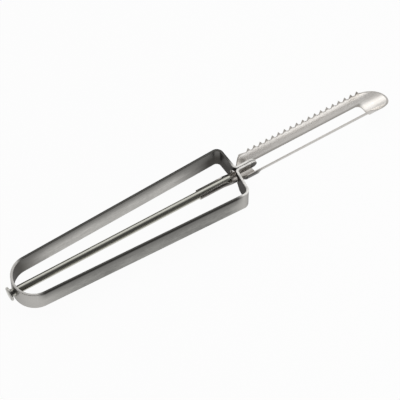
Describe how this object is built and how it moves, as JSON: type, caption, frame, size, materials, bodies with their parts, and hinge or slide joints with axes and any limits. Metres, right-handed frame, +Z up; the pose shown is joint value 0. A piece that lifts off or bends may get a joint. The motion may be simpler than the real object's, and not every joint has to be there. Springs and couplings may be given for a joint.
{
  "type": "swivel vegetable peeler",
  "caption": "All-metal vegetable peeler: a flat strip bent into a tapered loop handle, with a slotted trough blade on a headed rod that swivels in the neck.",
  "frame": {"origin": "under the middle of the tool's overall length, on the plane of the handle strip's lower edge", "axes": "+X along the tool towards the blade tip, +Y across the loop towards the toothed rim, +Z up across the strip's width"},
  "size_m": [0.1732, 0.0242, 0.01],
  "materials": {
    "strip_steel": "satin rolled stainless strip",
    "rod_steel": "bright drawn steel rod",
    "blade_steel": "ground and polished stainless sheet"
  },
  "bodies": {
    "handle": {"handle_loop": "strip_steel"},
    "swivel_blade": {"blade": "blade_steel", "pivot_rod": "rod_steel"}
  },
  "joints": [
    {"name": "blade_swivel", "type": "hinge", "parent": "handle", "child": "swivel_blade", "pos_m": [0, 0, 0.005], "axis": [1, 0, 0], "range_deg": [-33, 68]}
  ]
}
